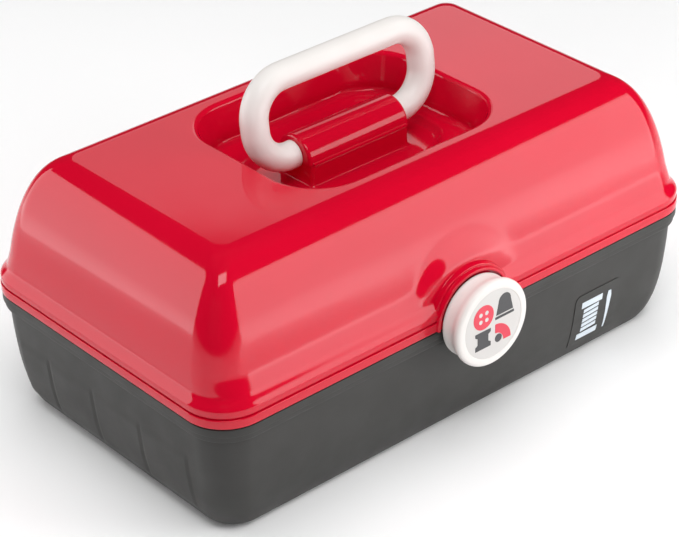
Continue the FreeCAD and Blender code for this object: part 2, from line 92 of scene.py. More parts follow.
def noise(nt, coord, scale, detail=3.0, stretch=None):
    """Noise fixed to the piece, from 0 to 1. It is drawn out along an axis where stretch is small."""
    n = nt.nodes.new("ShaderNodeTexNoise")
    n.inputs["Scale"].default_value = scale
    n.inputs["Detail"].default_value = detail
    n.inputs["Roughness"].default_value = 0.5
    where = coord.outputs["Object"]
    if stretch:
        mapping = nt.nodes.new("ShaderNodeMapping")
        mapping.inputs["Scale"].default_value = stretch
        nt.links.new(where, mapping.inputs["Vector"])
        where = mapping.outputs["Vector"]
    nt.links.new(where, n.inputs["Vector"])
    return n.outputs["Fac"]


def remap(nt, fac, lo, hi, a=0.3, b=0.7):
    """Maps a..b to lo..hi."""
    n = nt.nodes.new("ShaderNodeMapRange")
    n.inputs["From Min"].default_value = a
    n.inputs["From Max"].default_value = b
    n.inputs["To Min"].default_value = lo
    n.inputs["To Max"].default_value = hi
    nt.links.new(fac, n.inputs["Value"])
    return n.outputs["Result"]


def mix(nt, fac, a, b):
    """Mixes two colours, each given as a value or as the output of a node."""
    n = nt.nodes.new("ShaderNodeMix")
    n.data_type = "RGBA"
    for colour, socket in ((a, n.inputs[6]), (b, n.inputs[7])):
        if hasattr(colour, "node"):
            nt.links.new(colour, socket)
        else:
            socket.default_value = (*colour, 1)
    nt.links.new(fac, n.inputs[0])
    return n.outputs[2]


def worn_edges(nt, coord, colour, worn):
    """Lightens the raised edges in broken patches."""
    geo = nt.nodes.new("ShaderNodeNewGeometry")
    edge = remap(nt, geo.outputs["Pointiness"], 0.0, 0.55, 0.53, 0.62)
    breakup = remap(nt, noise(nt, coord, 240.0, 5.0), 0.0, 1.0, 0.42, 0.62)
    both = nt.nodes.new("ShaderNodeMath")
    both.operation = "MULTIPLY"
    nt.links.new(edge, both.inputs[0])
    nt.links.new(breakup, both.inputs[1])
    return mix(nt, both.outputs[0], colour, worn)


def plastic(name, lo, hi, rough, grain, grain_size, worn=None, blotch=18.0):
    """Moulded plastic: slow colour drift, fine grain of that size in mm, uneven roughness, worn edges."""
    m, nt, bsdf, coord = new_mat(name)
    colour = mix(nt, remap(nt, noise(nt, coord, blotch, 4.0), 0, 1), lo, hi)
    if worn:
        colour = worn_edges(nt, coord, colour, worn)
    nt.links.new(colour, bsdf.inputs["Base Color"])
    nt.links.new(remap(nt, noise(nt, coord, 60.0, 5.0), *rough), bsdf.inputs["Roughness"])
    bump = nt.nodes.new("ShaderNodeBump")
    bump.inputs["Strength"].default_value = grain
    bump.inputs["Distance"].default_value = 0.0002
    nt.links.new(noise(nt, coord, 1.0 / (grain_size * MM), 2.0), bump.inputs["Height"])
    nt.links.new(bump.outputs[0], bsdf.inputs["Normal"])
    bsdf.inputs["IOR"].default_value = 1.5
    return m


RED = plastic("pearl_red", (0.56, 0.0012, 0.019), (0.61, 0.0018, 0.023), (0.055, 0.095), 0.012, 0.8,
              blotch=9.0)
RED_IN = plastic("red_inside", (0.42, 0.006, 0.024), (0.50, 0.009, 0.030), (0.35, 0.48), 0.10, 0.9)
CHAR = plastic("charcoal", (0.0215, 0.0206, 0.0188), (0.0270, 0.0257, 0.0234), (0.44, 0.56), 0.16, 0.45,
               worn=(0.11, 0.108, 0.102), blotch=14.0)
WHITE = plastic("off_white", (0.755, 0.72, 0.695), (0.805, 0.77, 0.745), (0.30, 0.40), 0.05, 0.7, blotch=22.0)
# darker copy of the off-white: painted shade that tones down the latch face, which faces the bright front
# strips
SHADED_FACE_WHITE = plastic("face_white_painted_shade", (0.60, 0.58, 0.565), (0.64, 0.62, 0.60), (0.34, 0.44), 0.04, 0.7)
TRAY = plastic("tray_grey", (0.052, 0.050, 0.047), (0.066, 0.064, 0.060), (0.40, 0.52), 0.16, 0.5)
PLATE = plastic("divider_white", (0.78, 0.75, 0.72), (0.85, 0.82, 0.79), (0.34, 0.46), 0.08, 0.6)
PRINT_RED = plastic("print_red", (0.66, 0.035, 0.07), (0.72, 0.05, 0.085), (0.32, 0.42), 0.05, 0.6)
PRINT_DARK = plastic("print_dark", (0.045, 0.045, 0.048), (0.06, 0.06, 0.063), (0.34, 0.44), 0.05, 0.6)
BADGE = plastic("badge_film", (0.0215, 0.0206, 0.0190), (0.0270, 0.0257, 0.0236), (0.42, 0.52), 0.05, 0.6)
PALE = plastic("badge_pale", (0.60, 0.66, 0.72), (0.68, 0.74, 0.80), (0.36, 0.46), 0.05, 0.6)


def steel():
    """Drawn steel, with streaks along X."""
    m, nt, bsdf, coord = new_mat("steel")
    streaks = noise(nt, coord, 400.0, 4.0, stretch=(0.08, 1, 1))
    colour = mix(nt, remap(nt, streaks, 0, 1), (0.50, 0.50, 0.51), (0.66, 0.66, 0.67))
    nt.links.new(colour, bsdf.inputs["Base Color"])
    nt.links.new(remap(nt, streaks, 0.26, 0.42), bsdf.inputs["Roughness"])
    bsdf.inputs["Metallic"].default_value = 1.0
    return m


STEEL = steel()


# ---------------------------------------------------------------- mesh helpers
CORNER_STEPS = 18
LONG_STEPS = 100
SHORT_STEPS = 150
QUARTER = (0.4, 0.8, 1.2, 1.57)  # the steps of a quarter turn, in radians


def ring(hx, hy, r, z):
    """Rounded rectangle, in mm, with the same number of points whatever its size."""
    pts = []
    corners = ((1, 1, 0), (-1, 1, 90), (-1, -1, 180), (1, -1, 270))
    for i, (sx, sy, a) in enumerate(corners):
        for k in range(CORNER_STEPS + 1):
            t = math.radians(a + 90.0 * k / CORNER_STEPS)
            pts.append((sx * (hx - r) + r * math.cos(t), sy * (hy - r) + r * math.sin(t), z))
        nx, ny, na = corners[(i + 1) % 4]
        t = math.radians(na)
        end = (nx * (hx - r) + r * math.cos(t), ny * (hy - r) + r * math.sin(t))
        start = pts[-1]
        n = LONG_STEPS if i % 2 == 0 else SHORT_STEPS
        for k in range(1, n):
            f = k / n
            pts.append((start[0] + (end[0] - start[0]) * f, start[1] + (end[1] - start[1]) * f, z))
    return pts


def grown(size, d, corner, z):
    """The ring of that half length, half width and radius, grown by d, with corner times d on its radius."""
    return ring(size[0] + d, size[1] + d, size[2] + d * corner, z)


def place(me, material, body, sharp=None):
    """Makes the mesh a piece that rides a body, shaded smooth up to the sharp angle, in degrees, if given."""
    if sharp is not None:
        me.shade_smooth()
        me.set_sharp_from_angle(angle=math.radians(sharp))
    me.materials.append(material)
    o = bpy.data.objects.new(me.name, me)
    bpy.context.scene.collection.objects.link(o)
    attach(o, body)
    return o


def add(name, verts, faces, material, body, sharp=32.0, flip=False):
    """A piece from points, in mm, and faces. With flip its normals face the other way."""
    me = bpy.data.meshes.new(name)
    me.from_pydata([(v[0] * MM, v[1] * MM, v[2] * MM) for v in verts], [], faces)
    bm = bmesh.new()
    bm.from_mesh(me)
    bmesh.ops.remove_doubles(bm, verts=bm.verts, dist=1e-6)
    bmesh.ops.recalc_face_normals(bm, faces=bm.faces)
    if flip:
        bmesh.ops.reverse_faces(bm, faces=bm.faces)
    bm.to_mesh(me)
    bm.free()
    return place(me, material, body, sharp)


def stack(rings, close=(False, False), loop=False):
    """Points and faces between rings of equal length, with the first and last ring closed or joined."""
    n = len(rings[0])
    verts = [p for r in rings for p in r]
    faces = []
    pairs = [(i, i + 1) for i in range(len(rings) - 1)]
    if loop:
        pairs.append((len(rings) - 1, 0))
    for a, b in pairs:
        for k in range(n):
            k2 = (k + 1) % n
            faces.append((a * n + k, a * n + k2, b * n + k2, b * n + k))
    if close[0]:
        faces.append(tuple(range(n)))
    if close[1]:
        faces.append(tuple((len(rings) - 1) * n + k for k in range(n)))
    return verts, faces


def bez(p, t):
    """Point at t on the cubic curve with those four control points."""
    s = 1.0 - t
    k = (s ** 3, 3 * s * s * t, 3 * s * t * t, t ** 3)
    return (sum(k[i] * p[i][0] for i in range(4)), sum(k[i] * p[i][1] for i in range(4)))


def arc(cx, cz, r, a0, a1, n):
    """n steps along an arc from a0 to a1 degrees."""
    return [(cx + r * math.cos(math.radians(a0 + (a1 - a0) * i / n)),
             cz + r * math.sin(math.radians(a0 + (a1 - a0) * i / n))) for i in range(n + 1)]


def circle(cx, cz, r, n=48):
    return arc(cx, cz, r, 0, 360, n)[:-1]


def round_over(r0, y0, rad, angles=QUARTER):
    """Turn of a (radius, y) profile from its front face to its outside, about (r0, y0)."""
    return [(r0 + rad * math.sin(a), y0 - rad * math.cos(a)) for a in angles]


def smooth(a, b, x):
    """0 below a, 1 above b, with a soft step between."""
    t = max(0.0, min(1.0, (x - a) / (b - a)))
    return t * t * (3 - 2 * t)


def revolve(name, profile, centre, material, body, a0=0.0, a1=360.0, sharp=32.0):
    """Turns a (radius, y) profile, in mm, about an axis along Y through centre (x, z)."""
    seg = 96
    full = abs(a1 - a0) >= 359.9
    n = seg if full else seg + 1
    verts = []
    for r, y in profile:
        for k in range(n):
            a = math.radians(a0 + (a1 - a0) * k / seg)
            verts.append((centre[0] + r * math.cos(a), y, centre[1] + r * math.sin(a)))
    faces = []
    for i in range(len(profile) - 1):
        for k in range(seg):
            k2 = (k + 1) % n
            faces.append((i * n + k, i * n + k2, (i + 1) * n + k2, (i + 1) * n + k))
    return add(name, verts, faces, material, body, sharp)


def rounded_box(name, xs, ys, zs, r, material, body):
    """A box between three pairs of limits, in mm, with its edges rounded to radius r."""
    bm = bmesh.new()
    bmesh.ops.create_cube(bm, size=1.0)
    for vert in bm.verts:
        vert.co = Vector([((a + b) / 2 + c * (b - a)) * MM for c, (a, b) in zip(vert.co, (xs, ys, zs))])
    bmesh.ops.bevel(bm, geom=list(bm.edges), offset=r * MM, segments=4, profile=0.5, affect="EDGES")
    me = bpy.data.meshes.new(name)
    bm.to_mesh(me)
    bm.free()
    return place(me, material, body, sharp=40.0)


def eye(name, x0, x1, centre, r, hole, material, body, edge=0.35):
    """A round eye about an axis along X through centre (y, z), with a hole and softened edges."""
    near = edge * 0.3
    profile = [(hole, x0), (r - edge, x0), (r - near, x0 + near), (r, x0 + edge), (r, x1 - edge),
               (r - near, x1 - near), (r - edge, x1), (hole, x1)]
    seg = 40
    rings = []
    for rad, x in profile:
        turn = [2 * math.pi * k / seg for k in range(seg)]
        rings.append([(x, centre[0] + rad * math.cos(a), centre[1] + rad * math.sin(a)) for a in turn])
    verts, faces = stack(rings, loop=True)
    return add(name, verts, faces, material, body, 40.0)


def prism(name, outline, x0, x1, material, body):
    """A bar of constant section along X: outline in mm as (y, z)."""
    n = len(outline)
    verts = [(x, y, z) for x in (x0, x1) for y, z in outline]
    faces = [tuple(range(n)), tuple(range(2 * n - 1, n - 1, -1))]
    faces += [(k, (k + 1) % n, n + (k + 1) % n, n + k) for k in range(n)]
    return add(name, verts, faces, material, body, 30.0)


# ---------------------------------------------------------------- driving sizes, in mm
# A profile is four control points: inset from the rim and height. End and side profiles share their heights.
HALF_L, HALF_W, RIM_R = 160.0, 94.66, 22.8
LID_TOP = 141.65
LID_END = ((4.15, 74.4), (2.25, 101.6), (17.1, 141.65), (34.3, 141.65))
LID_SIDE = ((4.15, 74.4), (9.37, 101.6), (15.8, 141.65), (36.0, 141.65))
LID_R_FOOT, LID_R_TOP = 18.6, 6.7  # plan corner radius at the foot of the wall and at the flat top
LID_R_LAW = 1.6  # the plan corner radius shrinks slowly at first, faster near the top
LID_FOOT = 0.11  # where along its profile the wall starts
SKIN = 2.4  # thickness of the lid
BASE_TOP = 60.5
BASE_END = ((3.5, BASE_TOP), (5.0, 30.0), (6.4, 0.0), (19.8, 0.0))
BASE_SIDE = ((3.5, BASE_TOP), (5.0, 30.0), (10.15, 0.0), (17.8, 0.0))
BASE_R_TOP, BASE_R_FOOT = 19.3, 15.2
BASE_FLOOR = 2.6
HINGE_X, HINGE_AXIS, KNUCKLE_R = 92.0, (97.5, 68.0), 4.0
LATCH_CENTRE = (0.0, 69.1)
LATCH_PIN = (-99.8, 86.0)
SLOT_X = 4.7  # half width of the slot in the latch that clears the ear


def rim(inset, z):
    return ring(HALF_L - inset, HALF_W - inset, max(RIM_R - inset, 1.0), z)


# ---------------------------------------------------------------- lid
FLANGE_IN, FLANGE_Z, FLANGE_TOP = 0.35, 68.6, 77.0
BAND_R = 0.45
GROOVE_IN, GROOVE_Z0, GROOVE_Z1 = 1.1, 73.4, 74.3
FLARE, FLARE_TOP = 0.2, 91.8
SWELL_Y, SWELL_R0, SWELL_R1 = -90.5, 25.0, 42.0
RECESS = (66.0, 52.3, 29.0)  # half length, half width and corner radius of the recess at the top
DISH = (54.0, 27.0, 23.0)  # the same of the dish in its floor
RECESS_Z, DISH_Z = 121.0, 118.0
DISH_CENTRE = (26.0, 6.0, 3.0)  # closing ring, hidden under the pedestal
FLAT_IN = (34.9, 36.6)  # insets at which the flat top starts
INSIDE_R, INSIDE_R_DROP, INSIDE_RISE = 17.0, 11.0, 70.6  # inner corner radius, its loss, and over what height


def flare(z):
    """The long walls of the lid spread a little towards the flange."""
    d = max(0.0, FLARE_TOP - z)
    return FLARE * d * d / (d + 2.0)


def swell(p):
    """The front wall of the lid swells softly outwards to meet the ring round the latch."""
    x, y, z = p
    if y > 0.0 or y < SWELL_Y:
        return p
    w = 1.0 - smooth(SWELL_R0, SWELL_R1, math.hypot(x - LATCH_CENTRE[0], z - LATCH_CENTRE[1]))
    return (x, y + (SWELL_Y - y) * w, z)


def lid_wall(t):
    """Inset of the end walls, inset of the long walls, and height."""
    ix, z = bez(LID_END, t)
    iy, z = bez(LID_SIDE, t)
    return ix, iy - flare(z), z


def lid_rings():
    """Flange, shoulder and wall, from the bottom up."""
    # flange: two bands parted by a narrow groove
    flange = [(6.5, FLANGE_Z)]
    flange += arc(BAND_R, FLANGE_Z + BAND_R, BAND_R, 270, 180, 4)
    flange += arc(BAND_R, GROOVE_Z0 - BAND_R, BAND_R, 180, 90, 4)
    flange += [(GROOVE_IN, GROOVE_Z0), (GROOVE_IN, GROOVE_Z1)]
    flange += arc(FLANGE_IN + BAND_R, GROOVE_Z1 + BAND_R, BAND_R, 270, 180, 4)
    out = [rim(inset, z) for inset, z in flange]
    # rounded shoulder and the fillet that runs up into the wall
    foot_x, foot_y, foot_z = lid_wall(LID_FOOT)
    start = ((FLANGE_IN, FLANGE_TOP), (FLANGE_IN, FLANGE_TOP + 1.8))
    flange_r = RIM_R - FLANGE_IN
    steps = 14
    for i in range(steps):
        t = i / steps
        ix, z = bez((*start, (foot_x, FLANGE_TOP + 4.0), (foot_x, foot_z)), t)
        iy = bez((*start, (foot_y - 1.45, FLANGE_TOP + 4.0), (foot_y, foot_z)), t)[0]
        out.append(ring(HALF_L - ix, HALF_W - iy, flange_r + (LID_R_FOOT - flange_r) * t, z))
    steps = 40
    for i in range(steps + 1):
        ix, iy, z = lid_wall(LID_FOOT + (1.0 - LID_FOOT) * i / steps)
        k = ((z - foot_z) / (LID_TOP - foot_z)) ** LID_R_LAW
        out.append(ring(HALF_L - ix, HALF_W - iy, LID_R_FOOT + (LID_R_TOP - LID_R_FOOT) * k, z))
    out.append(ring(HALF_L - FLAT_IN[0], HALF_W - FLAT_IN[1], LID_R_TOP, LID_TOP))
    return [[swell(p) for p in level] for level in out]


def recess_rings():
    """Edge of the flat top, recess wall, floor and dish, from the outside in."""
    out = [ring(RECESS[0] + 3.6, RECESS[1] + 3.6, RECESS[2] + 3.0, LID_TOP)]
    wall = arc(2.8, LID_TOP - 2.6, 2.6, 90, 172, 8)
    top, foot = (0.15, LID_TOP - 2.3), (-4.4, RECESS_Z + 4.2)
    for i in range(1, 6):
        f = i / 5.0
        wall.append((top[0] + (foot[0] - top[0]) * f, top[1] + (foot[1] - top[1]) * f))
    wall += arc(-8.6, RECESS_Z + 4.4, 4.4, -14, -90, 8)
    out += [grown(RECESS, d, 0.7, z) for d, z in wall]
    lip = ((2.4, 121.0), (1.3, 120.9), (0.5, 120.5), (-0.1, 119.9), (-0.8, 119.2), (-1.7, 118.5),
           (-2.9, 118.1), (-4.2, DISH_Z))
    out += [grown(DISH, d, 0.3, z) for d, z in lip]
    out.append(ring(*DISH_CENTRE, DISH_Z))
    return out


def inside_rings():
    """Inside of the lid's walls, from the bottom up, and then the underside of the recess."""
    roof = LID_TOP - SKIN
    end = ((6.6, FLANGE_Z), (4.7, 99.6), (19.6, roof), (36.0, roof))
    side = ((6.6, FLANGE_Z), (11.8, 99.6), (17.4, roof), (36.5, roof))
    out = []
    steps = 30
    for i in range(steps + 1):
        ix, z = bez(end, i / steps)
        iy, z = bez(side, i / steps)
        r = INSIDE_R - INSIDE_R_DROP * (z - FLANGE_Z) / INSIDE_RISE
        out.append(ring(HALF_L - ix, HALF_W - iy, r, z))
    recess = tuple(v + SKIN for v in RECESS)
    for d, z in ((0.0, roof), (-0.9, 135.0), (-2.6, 128.6), (-4.6, 122.6), (-5.8, 120.0), (-7.6, 118.8),
                 (-10.0, RECESS_Z - SKIN)):
        out.append(grown(recess, d, 0.7, z))
    dish = tuple(v + SKIN for v in DISH)
    for d, z in ((1.6, RECESS_Z - SKIN), (-0.4, 117.6), (-1.6, 116.2), (-3.4, DISH_Z - SKIN)):
        out.append(grown(dish, d, 0.0, z))
    out.append(ring(*DISH_CENTRE, DISH_Z - SKIN))
    return out


lid = add("lid_outer", *stack(lid_rings() + recess_rings(), close=(False, True)), RED, "lid")
lid_in = add("lid_inner", *stack(inside_rings(), close=(False, True)), RED_IN, "lid", flip=True)
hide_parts("lid_shell")

# ring round the upper half of the latch: shallow seat, lip, lower step and a fillet into the wall
SEAT_Y, LIP_R0, LIP_Y = -92.7, 22.9, -95.5
collar_profile = [(0.5, SEAT_Y), (LIP_R0, SEAT_Y), (LIP_R0, LIP_Y)]
collar_profile += [(LIP_R0 + 0.4 - 0.4 * math.cos(a), LIP_Y - 0.4 * math.sin(a)) for a in QUARTER]
collar_profile += round_over(24.1, -95.4, 0.5, (0.0, *QUARTER))
collar_profile += [(24.65, -93.5), (24.8, -93.4), (25.5, -93.4)]
collar_profile += round_over(25.5, -92.9, 0.5)
collar_profile += arc(27.2, -91.2, 1.2, 180, 90, 6)
collar_profile += [(27.6, -89.6), (27.8, -83.0)]
collar = revolve("latch_collar", collar_profile, LATCH_CENTRE, RED, "lid", a0=-0.8, a1=180.8)

# pedestal under the barrel, flared where it meets the dish
PEDESTAL = (32.1, 13.1, 2.2)  # half length, half width and corner radius
pedestal_rings = []
for d, z in ((2.6, 117.9), (1.5, 118.15), (0.8, 118.7), (0.3, 119.6), (0.0, 121.0), (0.0, 125.0),
             (0.0, 129.3), (-0.3, 129.75)):
    pedestal_rings.append(grown(PEDESTAL, d, 1.0, z))
pedestal = add("lid_pedestal", *stack(pedestal_rings, close=(False, True)), RED, "lid")

# hinge knuckles at the back, and the lugs inside that lift the upper tray
LUG_AXIS = (37.5, 72.0)
for side, s in SIDES:
    x = s * HINGE_X
    x0, x1 = x - 8.0, x + 8.0
    knuckle = eye("lid_knuckle_" + side, x0, x1, HINGE_AXIS, KNUCKLE_R, 1.8, RED, "lid")
    web_xs = (x0 + 0.1, x1 - 0.1)
    web = rounded_box("lid_knuckle_web_" + side, web_xs, (92.8, 97.0), (69.1, 71.9), 0.5, RED, "lid")
    x0, x1 = sorted((s * 149.0, s * 151.2))
    lug_eye = eye("lid_lug_eye_" + side, x0, x1, LUG_AXIS, 5.0, 2.3, RED_IN, "lid", edge=0.25)
    lug_xs = (x0 + 0.02, x1 - 0.02)
    lug = rounded_box("lid_lug_" + side, lug_xs, (32.5, 42.5), (75.2, 91.0), 0.4, RED_IN, "lid")
    seat_xs = sorted((s * 150.6, s * 154.0))
    seat = rounded_box("lid_lug_seat_" + side, seat_xs, (32.6, 42.4), (80.0, 91.0), 0.4, RED_IN, "lid")

# the ear that carries the latch pin
ear = eye("latch_ear", -4.2, 4.2, LATCH_PIN, 2.7, 1.6, RED, "lid")
ear_web = prism("latch_ear_web", [(-101.5, 83.9), (-92.6, 76.4), (-92.6, 80.4), (-97.9, 86.0), (-98.8, 84.2)],
                -4.15, 4.15, RED, "lid")


# ---------------------------------------------------------------- base
BASE_FOOT = (100.0, 36.0, 12.0)  # ring that closes the underside and the floor
PANEL_X = 120.0  # only points beyond this are on the end walls
PANEL_PROUD, PANEL_EDGE = 0.55, 1.1
PANEL_FOOT, PANEL_HEAD = (8.0, 11.0), (39.0, 43.0)  # heights over which a panel rises and sinks back
PANELS = ((-63.0, -26.6), (-25.6, 11.5), (12.5, 47.5), (48.5, 74.0))


def panel(p):
    """Shallow moulded panels on the two end walls."""
    x, y, z = p
    if abs(x) < PANEL_X:
        return p
    d = 0.0
    for a, b in PANELS:
        edge = smooth(a, a + PANEL_EDGE, y) * (1.0 - smooth(b - PANEL_EDGE, b, y))
        d = max(d, edge * smooth(*PANEL_FOOT, z) * (1.0 - smooth(*PANEL_HEAD, z)))
    return (x + math.copysign(PANEL_PROUD * d, x), y, z)


def base_rings():
    """Underside, outer wall, stepped rim, inner wall and floor."""
    out = [ring(*BASE_FOOT, 0.0)]
    steps = 46
    for i in range(steps + 1):
        t = 1.0 - (1.0 - 0.05) * i / steps
        ix, z = bez(BASE_END, t)
        iy, z = bez(BASE_SIDE, t)
        r = BASE_R_TOP + (BASE_R_FOOT - BASE_R_TOP) * (1.0 - z / BASE_TOP)
        out.append([panel(p) for p in ring(HALF_L - ix, HALF_W - iy, r, z)])
    for inset, z in ((3.55, 58.6), (3.6, 59.3), (3.8, 59.9), (4.2, 60.35), (4.8, 60.55)):
        out.append(ring(HALF_L - inset, HALF_W - inset, BASE_R_TOP, z))
    bands = [(4.8, 60.2)] + arc(2.0, 60.8, 0.7, 270, 180, 5) + [(1.2, 63.6)]
    bands += arc(0.8, 64.1, 0.5, 270, 180, 4) + arc(0.8, 67.5, 0.5, 180, 90, 4) + [(5.9, 68.0)]
    out += [rim(inset, z) for inset, z in bands]
    end = ((5.9, BASE_TOP), (7.4, 30.0), (9.0, BASE_FLOOR), (21.0, BASE_FLOOR))
    side = ((5.9, BASE_TOP), (7.4, 30.0), (12.4, BASE_FLOOR), (19.4, BASE_FLOOR))
    steps = 24
    for i in range(steps + 1):
        ix, z = bez(end, i / steps)
        iy, z = bez(side, i / steps)
        out.append(ring(HALF_L - ix, HALF_W - iy, 16.9 - 3.0 * (1.0 - z / BASE_TOP), z))
    out.append(ring(*BASE_FOOT, BASE_FLOOR))
    return out


base = add("base_body", *stack(base_rings(), close=(True, True)), CHAR, "base")
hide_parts("base_shell")
for side, s in SIDES:
    for i, (a, b) in enumerate(((-20.0, -8.7), (8.7, 20.0))):
        x0, x1 = s * HINGE_X + a, s * HINGE_X + b
        knuckle = eye("base_knuckle_%s_%d" % (side, i), x0, x1, HINGE_AXIS, KNUCKLE_R, 1.5, CHAR, "base")
        web_xs = (x0 + 0.1, x1 - 0.1)
        web = rounded_box("base_knuckle_web_%s_%d" % (side, i), web_xs, (92.3, 97.0), (64.1, 67.5), 0.5,
                          CHAR, "base")


# ---------------------------------------------------------------- handle loop
HANDLE_HALF, HANDLE_HIGH, HANDLE_BEND, HANDLE_R = 54.6, 42.3, 19.0, 7.16
HANDLE_AXIS_Z, HANDLE_TILT = 132.6, math.radians(6.7)  # it stands tilted back a little
NECK_X = 33.1  # half the gap between the loop's two ends
NECK = ((6.95, 0.15), (6.4, 0.35), (6.0, 0.4), (6.0, 3.0))  # radius, and how far inside the loop's end


def handle_path():
    """Centre line of the loop as (x, z), from its right end over the top to its left end."""
    path = []

    def line(a, b, n):
        for i in range(n):
            path.append((a[0] + (b[0] - a[0]) * i / n, a[1] + (b[1] - a[1]) * i / n))

    hx, low, high = HANDLE_HALF - HANDLE_BEND, HANDLE_BEND, HANDLE_HIGH - HANDLE_BEND
    line((NECK_X, 0), (hx, 0), 2)
    path += arc(hx, low, HANDLE_BEND, -90, 0, 20)[:-1]
    line((HANDLE_HALF, low), (HANDLE_HALF, high), 3)
    path += arc(hx, high, HANDLE_BEND, 0, 90, 20)[:-1]
    line((hx, HANDLE_HIGH), (-hx, HANDLE_HIGH), 14)
    path += arc(-hx, high, HANDLE_BEND, 90, 180, 20)[:-1]
    line((-HANDLE_HALF, high), (-HANDLE_HALF, low), 3)
    path += arc(-hx, low, HANDLE_BEND, 180, 270, 20)[:-1]
    line((-hx, 0), (-NECK_X, 0), 2)
    path.append((-NECK_X, 0))
    return path


def handle_section(x, z, normal, r):
    """A round section of the bar about (x, z), its normal in the loop's plane, tilted with the loop."""
    seg = 40
    out = []
    for k in range(seg):
        q = 2 * math.pi * k / seg
        along, y = r * math.cos(q), r * math.sin(q)
        up = z + normal[1] * along
        out.append((x + normal[0] * along,
                    y * math.cos(HANDLE_TILT) + up * math.sin(HANDLE_TILT),
                    HANDLE_AXIS_Z - y * math.sin(HANDLE_TILT) + up * math.cos(HANDLE_TILT)))
    return out


def handle():
    path = handle_path()
    last = len(path) - 1
    bar = []
    for i, (x, z) in enumerate(path):
        a, b = path[max(i - 1, 0)], path[min(i + 1, last)]
        length = math.hypot(b[0] - a[0], b[1] - a[1])
        bar.append(handle_section(x, z, ((a[1] - b[1]) / length, (b[0] - a[0]) / length), HANDLE_R))
    # rounded shoulders, then the thinner spindle inside the barrel
    head = [handle_section(NECK_X - d, 0, (0, 1), r) for r, d in NECK]
    tail = [handle_section(d - NECK_X, 0, (0, 1), r) for r, d in NECK]
    return add("handle_bar", *stack(head[::-1] + bar + tail, close=(True, True)), WHITE, "handle")


loop = handle()
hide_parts("handle_loop")


# ---------------------------------------------------------------- latch
PRINT_Y = -108.42
CHEEK_Y = (-104.7, -95.4)

# round cap: raised lip round the face, rounded rim, slight waist, hollow back
cap_profile = [(0.0, -107.6), (18.8, -107.6), (18.8, -108.3), (18.9, -108.5), (19.1, -108.6)]
cap_profile += [(20.6, -108.62), (21.3, -108.58)]
cap_profile += round_over(21.3, -106.5, 2.1, (0.2, 0.4, 0.6, 0.8, 1.0, 1.2, 1.4, 1.57))
cap_profile += [(23.38, -105.9), (23.3, -105.3), (23.1, -104.7), (22.8, -104.0), (22.45, -103.2)]
cap_profile += [(22.15, -102.3), (21.95, -101.3), (21.85, -100.2), (21.83, -99.2), (21.87, -98.2)]
cap_profile += [(21.95, -97.2), (21.98, -96.5), (21.9, -96.0), (21.7, -95.6), (21.4, -95.38), (21.0, -95.3)]
cap_profile += [(20.2, -95.3), (19.8, -95.45), (19.6, -95.8), (19.6, -104.2), (19.4, -104.6), (0.0, -104.6)]
cap = revolve("latch_cap", cap_profile, LATCH_CENTRE, WHITE, "latch", sharp=50.0)
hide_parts("latch_button")
# cheeks that hold the pin on both sides of the slot, and the hook
for i, s in enumerate((1, -1)):
    for name, reach, z0, z1 in (("latch_cheek_%d", 15.5, 78.0, 84.4),
                                ("latch_cheek_top_%d", 10.4, 84.3, 88.0)):
        x0, x1 = sorted((s * SLOT_X, s * reach))
        outline = [(CHEEK_Y[0], z0), (CHEEK_Y[1], z0), (CHEEK_Y[1], z1), (CHEEK_Y[0], z1)]
        cheek = prism(name % i, outline, x0, x1, WHITE, "latch")
hook = rounded_box("latch_hook", (-8.0, 8.0), (-104.9, -92.3), (57.2, 59.5), 0.5, WHITE, "latch")


def flat_shape(name, outline, y, material, body, centre, thick=0.18):
    """A thin raised print: outline in mm about the centre, x to the right and z up."""
    bm = bmesh.new()
    pts = [(centre[0] + p[0], centre[1] + p[1]) for p in outline]
    front = [bm.verts.new((p[0] * MM, y * MM, p[1] * MM)) for p in pts]
    back = [bm.verts.new((p[0] * MM, (y + thick) * MM, p[1] * MM)) for p in pts]
    n = len(pts)
    bm.faces.new(front)
    bm.faces.new(back[::-1])
    for k in range(n):
        bm.faces.new((front[(k + 1) % n], front[k], back[k], back[(k + 1) % n]))
    bmesh.ops.recalc_face_normals(bm, faces=bm.faces)
    bmesh.ops.triangulate(bm, faces=[face for face in bm.faces if len(face.verts) > 4])
    me = bpy.data.meshes.new(name)
    bm.to_mesh(me)
    bm.free()
    return place(me, material, body)


def latch_print(name, outline, material, lift=0.0):
    o = flat_shape(name, outline, PRINT_Y - lift, material, "latch", LATCH_CENTRE)


# red sewing button, charcoal spool and thimble, a red curl of thread and a pin's head
latch_print("print_button", circle(-6.4, 6.2, 6.7), PRINT_RED)
for i, (x, z) in enumerate(((-8.4, 4.2), (-4.4, 4.2), (-8.4, 8.2), (-4.4, 8.2))):
    latch_print("print_hole_%d" % i, circle(x, z, 1.15, 20), SHADED_FACE_WHITE, lift=0.04)
spool = [(-12.0, -11.6), (-1.6, -11.6), (-1.6, -9.2), (-3.2, -8.2), (-3.2, -4.4), (-1.6, -3.4), (-1.6, -1.6),
         (-12.0, -1.6), (-12.0, -3.4), (-10.4, -4.4), (-10.4, -8.2), (-12.0, -9.2)]
latch_print("print_spool", spool, PRINT_DARK)
thimble = [(2.0, 3.6), (13.4, 3.6), (11.8, 10.4)] + arc(7.7, 10.4, 4.1, 0, 180, 20)[1:-1] + [(3.6, 10.4)]
latch_print("print_thimble", thimble, PRINT_DARK)
latch_print("print_thimble_brim", [(1.4, 1.4), (14.0, 1.4), (14.0, 2.8), (1.4, 2.8)], PRINT_DARK)
thread = arc(1.4, -11.8, 10.6, 0, 90, 28) + arc(1.4, -11.8, 5.6, 0, 90, 28)[::-1]
latch_print("print_thread", thread, PRINT_RED)
latch_print("print_pin_head", circle(3.6, -9.6, 2.3, 28), PRINT_DARK)


